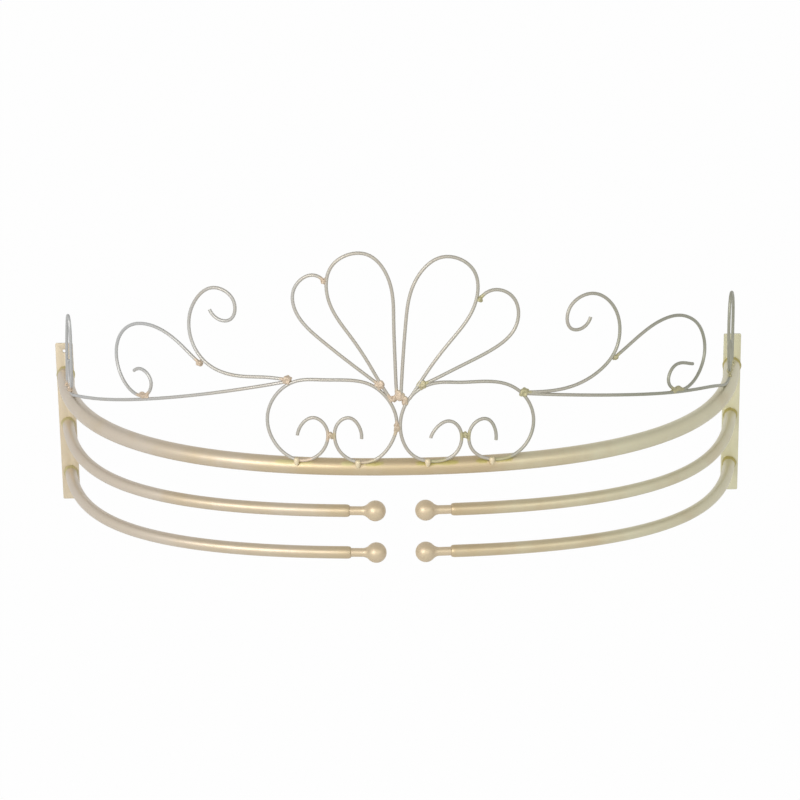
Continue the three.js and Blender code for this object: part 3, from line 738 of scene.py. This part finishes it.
bpy.ops.object.select_all(action="DESELECT")
bpy.ops.mesh.primitive_cube_add(size=1)
plate = bpy.context.object
bpy.ops.object.mode_set(mode="EDIT")
bpy.ops.mesh.select_all(action="SELECT")
bpy.ops.transform.resize(value=(PLATE_WIDTH, PLATE_FACE, PLATE_TOP - PLATE_FOOT))
bpy.ops.transform.translate(value=(0, -PLATE_FACE / 2, (PLATE_TOP + PLATE_FOOT) / 2))
bpy.ops.mesh.select_mode(type="EDGE")
bpy.ops.mesh.select_all(action="DESELECT")
bpy.ops.object.mode_set(mode="OBJECT")
for edge in plate.data.edges:
    first, second = (plate.data.vertices[i].co for i in edge.vertices)
    edge.select = abs(first.y - second.y) > PLATE_FACE / 2
bpy.ops.object.mode_set(mode="EDIT")
bpy.ops.mesh.bevel(offset=CORNER, segments=6, affect="EDGES")
bpy.ops.mesh.select_mode(type="VERT")
bpy.ops.object.mode_set(mode="OBJECT")
for height in (PLATE_TOP - HOLE_FROM_END, PLATE_FOOT + HOLE_FROM_END):
    bpy.ops.object.select_all(action="DESELECT")
    bpy.ops.mesh.primitive_cylinder_add(vertices=32, radius=SCREW_HOLE, depth=20 * mm,
                                        location=(0, 0, height), rotation=(math.pi / 2, 0, 0))
    drill = bpy.context.object
    pick(plate)
    bpy.ops.object.modifier_add(type="BOOLEAN")
    plate.modifiers[-1].object = drill
    bpy.ops.object.modifier_apply(modifier=plate.modifiers[-1].name)
    bpy.data.objects.remove(drill)
pick(plate)
bpy.ops.object.modifier_add(type="BEVEL")
plate.modifiers[-1].width = EASED_EDGE
plate.modifiers[-1].segments = 3
bpy.ops.object.modifier_apply(modifier=plate.modifiers[-1].name)
for side, sign in (("left", -1), ("right", 1)):
    pick(plate)
    bpy.ops.object.duplicate()
    bar = bpy.context.object
    bar.name = bar.data.name = f"{side}_plate_bar"
    bar.data.transform(Matrix.Translation((sign * BOW_WIDTH / 2, 0, 0)))
    mark_welds(bar, [(sign * BOW_WIDTH / 2, -PLATE_FACE, row_height[row], radius)
                     for row, radius in ROOTS], 6 * mm)
    stand_for(bar, "plate_paint", "frame", f"{side}_wall_plate")
bpy.data.objects.remove(plate)

# %% [markdown]
# ## The crest
# Each scroll is one length of 4.5 mm wire bent cold, so its bends run smoothly into each other. A
# NURBS path does the same: a few control points pull one smooth curve. The wires are drawn flat,
# each point as a share of the crest's half length and of its height over the rail, given a round
# bevel, and made a mesh. Their cut ends are rounded a little.

# %% Bend one wire
CREST_HEIGHT = 284 * mm


def flat_spot(sign, along, up):
    """A place on the flat crest, from its shares of the half length and of the height."""
    return Vector((sign * along * half_length["crest"], 0, SEAT + up * CREST_HEIGHT))


def bent_wire(name, sign, shares):
    bpy.ops.object.select_all(action="DESELECT")
    bpy.ops.curve.primitive_nurbs_path_add()
    wire = bpy.context.object
    wire.name = wire.data.name = name
    line = wire.data.splines[0]
    line.points.add(len(shares) - len(line.points))
    for point, (along, up) in zip(line.points, shares):
        point.co = (*flat_spot(sign, along, up), 1)
    line.order_u = 4
    line.use_endpoint_u = True
    line.resolution_u = 14
    wire.data.twist_mode = "MINIMUM"
    wire.data.bevel_depth = WIRE
    wire.data.bevel_resolution = 6
    wire.data.use_fill_caps = True
    bpy.ops.object.convert(target="MESH")
    wire = bpy.context.object
    bpy.ops.object.mode_set(mode="EDIT")
    bpy.ops.mesh.select_all(action="SELECT")
    bpy.ops.mesh.remove_doubles(threshold=0.01 * mm)
    bpy.ops.mesh.select_all(action="DESELECT")
    bpy.ops.mesh.select_mode(type="FACE")
    bpy.ops.mesh.select_face_by_sides(number=4, type="GREATER")
    bpy.ops.mesh.bevel(offset=0.7 * mm, segments=3, affect="EDGES")
    bpy.ops.mesh.select_all(action="SELECT")
    bpy.ops.mesh.normals_make_consistent(inside=False)
    bpy.ops.mesh.select_mode(type="VERT")
    bpy.ops.object.mode_set(mode="OBJECT")
    return wire


# %% [markdown]
# Where two wires touch, a lump of weld metal joins them. A bead starts as a coarse icosphere,
# stretched to its size. Its few corners are pushed in and out at random, and then it is divided
# and smoothed, which gives a lump like a solidified drop, and no two alike. A bead is given as its
# place on the crest and its length and height in millimetres.

# %% Weld beads
ROUND, LARGE, TALL = (8.6, 8.6), (13, 13), (8.6, 13)
BEAD_DEPTH, BEAD_LUMPS, FOOT_BURN = 7.4 * mm, 1.5 * mm, 5 * mm


def weld_bead(sign, along, up, long, high, seed):
    bpy.ops.object.select_all(action="DESELECT")
    bpy.ops.mesh.primitive_ico_sphere_add(subdivisions=2, radius=1)
    bead = bpy.context.object
    bpy.ops.object.mode_set(mode="EDIT")
    bpy.ops.mesh.select_all(action="SELECT")
    bpy.ops.transform.resize(value=(long / 2 * mm, BEAD_DEPTH / 2, high / 2 * mm))
    bpy.ops.transform.vertex_random(offset=BEAD_LUMPS, uniform=0.1, normal=0.9, seed=seed)
    bpy.ops.mesh.subdivide(number_cuts=3, smoothness=1)
    bpy.ops.mesh.vertices_smooth(factor=0.5, repeat=2)
    bpy.ops.transform.translate(value=flat_spot(sign, along, up))
    bpy.ops.object.mode_set(mode="OBJECT")
    return bead


def crest_wire(side, kind, shares, beads, feet=()):
    """Bend a wire, put its beads on, and mark them and its feet, which the torch has burnt."""
    sign = -1 if side == "left" else 1
    wire = bent_wire(f"{side}_{kind}_wire", sign, shares)
    lumps = [weld_bead(sign, *bead, seed=7 * i + len(shares)) for i, bead in enumerate(beads)]
    pick(wire, *lumps)
    if lumps:
        bpy.ops.object.join()
    spots = [(*flat_spot(sign, along, up), max(long, high) / 2 * mm)
             for along, up, long, high in beads]
    mark_welds(wire, spots + [(*flat_spot(sign, along, 0), FOOT_BURN) for along in feet])
    bend_round(wire, "crest")
    stand_for(wire, "wire_paint", "frame", f"{side}_{kind}")


# %% [markdown]
# Two ovals sit side by side on the upper rail, each with both ends curled in under its top. The
# left and right ones were bent by hand and differ a little, so each has its own points. The last
# four numbers say where the foot stands on the rail, burnt by the torch.

# %% Oval scrolls
crest_wire("left", "oval_scroll", [
    (0.184, 0.125), (0.182, 0.165), (0.158, 0.245), (0.122, 0.165), (0.134, 0.04), (0.176, -0.015),
    (0.216, 0.035), (0.24, 0.135), (0.24, 0.245), (0.216, 0.345), (0.18, 0.4), (0.136, 0.395),
    (0.094, 0.4), (0.052, 0.39), (0.018, 0.315), (0, 0.205), (0.01, 0.1), (0.038, 0.005),
    (0.08, -0.01), (0.116, 0.055), (0.12, 0.185), (0.082, 0.245), (0.066, 0.15), (0.068, 0.115)],
    [(0.1235, 0.128, *ROUND), (0.0047, 0.165, *TALL)], (0.168, 0.176, 0.054, 0.066))
crest_wire("right", "oval_scroll", [
    (0.056, 0.115), (0.06, 0.15), (0.086, 0.225), (0.118, 0.145), (0.106, 0.02), (0.062, -0.01),
    (0.02, 0.02), (0, 0.125), (0.002, 0.24), (0.024, 0.34), (0.064, 0.39), (0.108, 0.375),
    (0.15, 0.38), (0.194, 0.367), (0.23, 0.299), (0.248, 0.19), (0.239, 0.075), (0.206, -0.005),
    (0.162, -0.01), (0.124, 0.04), (0.122, 0.17), (0.164, 0.225), (0.176, 0.13), (0.174, 0.09)],
    [(0.1187, 0.122, *ROUND)], (0.06, 0.072, 0.178, 0.19))

# %% [markdown]
# Over them stand two pairs of petals, like an open fan. The inner ones are closed loops whose
# legs meet between the ovals. Each outer one is half a heart, from its neighbour's shoulder down
# to the same leg. Three lumps bridge the legs and both ovals' shoulders, with a small arch below.

# %% Petals
crest_wire("left", "inner_petal", [
    (0.004, 0.335), (0.005, 0.38), (0.006, 0.5), (0.008, 0.68), (0.006, 0.86), (0.048, 1.035),
    (0.128, 0.96), (0.128, 0.755), (0.084, 0.61), (0.051, 0.475), (0.031, 0.37), (0.0145, 0.306)],
    [(0.0145, 0.306, *ROUND), (-0.0008, 0.322, *LARGE), (0.0085, 0.308, *ROUND),
     (-0.011, 0.297, *TALL)])
crest_wire("right", "inner_petal", [
    (0.004, 0.335), (0.005, 0.38), (0.008, 0.5), (0.014, 0.68), (0.022, 0.855), (0.074, 1.015),
    (0.149, 0.925), (0.141, 0.72), (0.096, 0.588), (0.056, 0.46), (0.034, 0.365), (0.0195, 0.308)], [])
crest_wire("left", "outer_petal", [
    (0.129, 0.865), (0.146, 0.92), (0.194, 0.85), (0.184, 0.69), (0.134, 0.58), (0.088, 0.483),
    (0.057, 0.42), (0.034, 0.373)],
    [(0.129, 0.865, *ROUND), (0.034, 0.373, *LARGE)])
crest_wire("right", "outer_petal", [
    (0.146, 0.77), (0.162, 0.83), (0.217, 0.8), (0.22, 0.605), (0.158, 0.51), (0.108, 0.455),
    (0.067, 0.4), (0.041, 0.371)],
    [(0.146, 0.77, *ROUND), (0.041, 0.371, *LARGE)])

# %% [markdown]
# Outside the ovals the crest falls away to the wall: a long arm on each side, a tall scroll that
# starts beside the oval, a low one that leans on the arm, and a small one close to the wall. The
# low scroll stands on the arm with a longer lump of weld than the others.

# %% Arms and outer scrolls
crest_wire("left", "tall_scroll", [
    (0.344, 0.7), (0.336, 0.655), (0.296, 0.63), (0.288, 0.775), (0.338, 0.83), (0.376, 0.74),
    (0.392, 0.625), (0.382, 0.505), (0.35, 0.42), (0.304, 0.39), (0.26, 0.395), (0.228, 0.4),
    (0.2, 0.39)],
    [(0.2, 0.39, *LARGE)])
crest_wire("right", "tall_scroll", [
    (0.354, 0.635), (0.348, 0.585), (0.306, 0.56), (0.304, 0.71), (0.356, 0.77), (0.4, 0.695),
    (0.42, 0.58), (0.413, 0.45), (0.376, 0.365), (0.33, 0.315), (0.284, 0.301), (0.252, 0.306),
    (0.226, 0.31)],
    [(0.226, 0.31, *LARGE)])
crest_wire("left", "low_scroll", [
    (0.368, 0.435), (0.38, 0.455), (0.404, 0.51), (0.444, 0.57), (0.492, 0.585), (0.538, 0.55),
    (0.574, 0.455), (0.578, 0.33), (0.545, 0.222), (0.492, 0.198), (0.468, 0.32), (0.507, 0.367),
    (0.524, 0.33)],
    [(0.368, 0.435, *ROUND), (0.4995, 0.2194, 20, 7.6)])
crest_wire("right", "low_scroll", [
    (0.406, 0.42), (0.42, 0.44), (0.452, 0.49), (0.5, 0.545), (0.556, 0.555), (0.606, 0.512),
    (0.653, 0.432), (0.681, 0.29), (0.641, 0.178), (0.581, 0.144), (0.527, 0.218), (0.558, 0.334),
    (0.606, 0.275), (0.62, 0.266)],
    [(0.406, 0.42, *ROUND), (0.5663, 0.1719, 24, 7.6)])
crest_wire("left", "side_scroll", [
    (0.884, 0), (0.88, 0.05), (0.87, 0.14), (0.855, 0.25), (0.838, 0.35), (0.822, 0.434),
    (0.803, 0.385), (0.806, 0.28), (0.812, 0.15), (0.822, 0.022), (0.844, 0.018), (0.852, 0.1),
    (0.842, 0.18), (0.828, 0.165)],
    [(0.884, 0, *ROUND), (0.833, 0.0243, *ROUND)])
crest_wire("right", "side_scroll", [
    (0.956, 0), (0.962, 0.08), (0.964, 0.2), (0.944, 0.33), (0.892, 0.442), (0.853, 0.458),
    (0.84, 0.33), (0.849, 0.17), (0.864, 0.035), (0.888, 0.025), (0.904, 0.11), (0.89, 0.195),
    (0.872, 0.185)],
    [(0.956, 0, *ROUND), (0.879, 0.0337, *ROUND)])
crest_wire("left", "arm_wire", [
    (0.204, 0.38), (0.406, 0.26), (0.602, 0.138), (0.76, 0.045), (0.8, 0.013), (0.825, 0), (0.85, 0)],
    [(0.85, 0, *ROUND)])
crest_wire("right", "arm_wire", [
    (0.23, 0.303), (0.374, 0.253), (0.512, 0.187), (0.72, 0.088), (0.8, 0.015), (0.84, 0), (0.88, 0)],
    [(0.88, 0, *ROUND)])

# %% [markdown]
# ## The studs
# Under each oval two short studs hang down over the front of the rail and are welded to it. Each
# is a drop, drawn lying down in millimetres, domed at the top and worn to a point below. It is
# spun, roughened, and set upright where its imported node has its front.

# %% Studs under the ovals
STUD = 3.7 * mm
drop = [(0, 0), (0.3, 1.7), (1.1, 2.9), (2.3, 3.5), (3.7, 3.7), (5.2, 3.6), (7, 3.3), (8.8, 2.8),
        (10.3, 2.2), (11.4, 1.3), (12, 0)]
stud_model = turned("stud_model", [(along * mm, radius * mm) for along, radius in drop], 24)
roughen(stud_model, lambda co: True, 0.35 * mm, 5)
for node in ("left_outer_peg", "left_inner_peg", "right_inner_peg", "right_outer_peg"):
    pick(stud_model)
    bpy.ops.object.duplicate()
    stud = bpy.context.object
    stud.name = stud.data.name = node.replace("peg", "stud")
    low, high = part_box(node)
    top = Vector(((low.x + high.x) / 2, low.y + STUD, high.z))
    stud.data.transform(Matrix.Translation(top) @ Matrix.Rotation(math.pi / 2, 4, "Y"))
    mark_welds(stud, [(*top, 0)], 5 * mm)
    stand_for(stud, "wire_paint", "frame", node, finish="stud_paint")
bpy.data.objects.remove(stud_model)

# %% [markdown]
# The formers have done their work and go.

# %% Remove the formers
for former in formers.values():
    bpy.data.objects.remove(former)
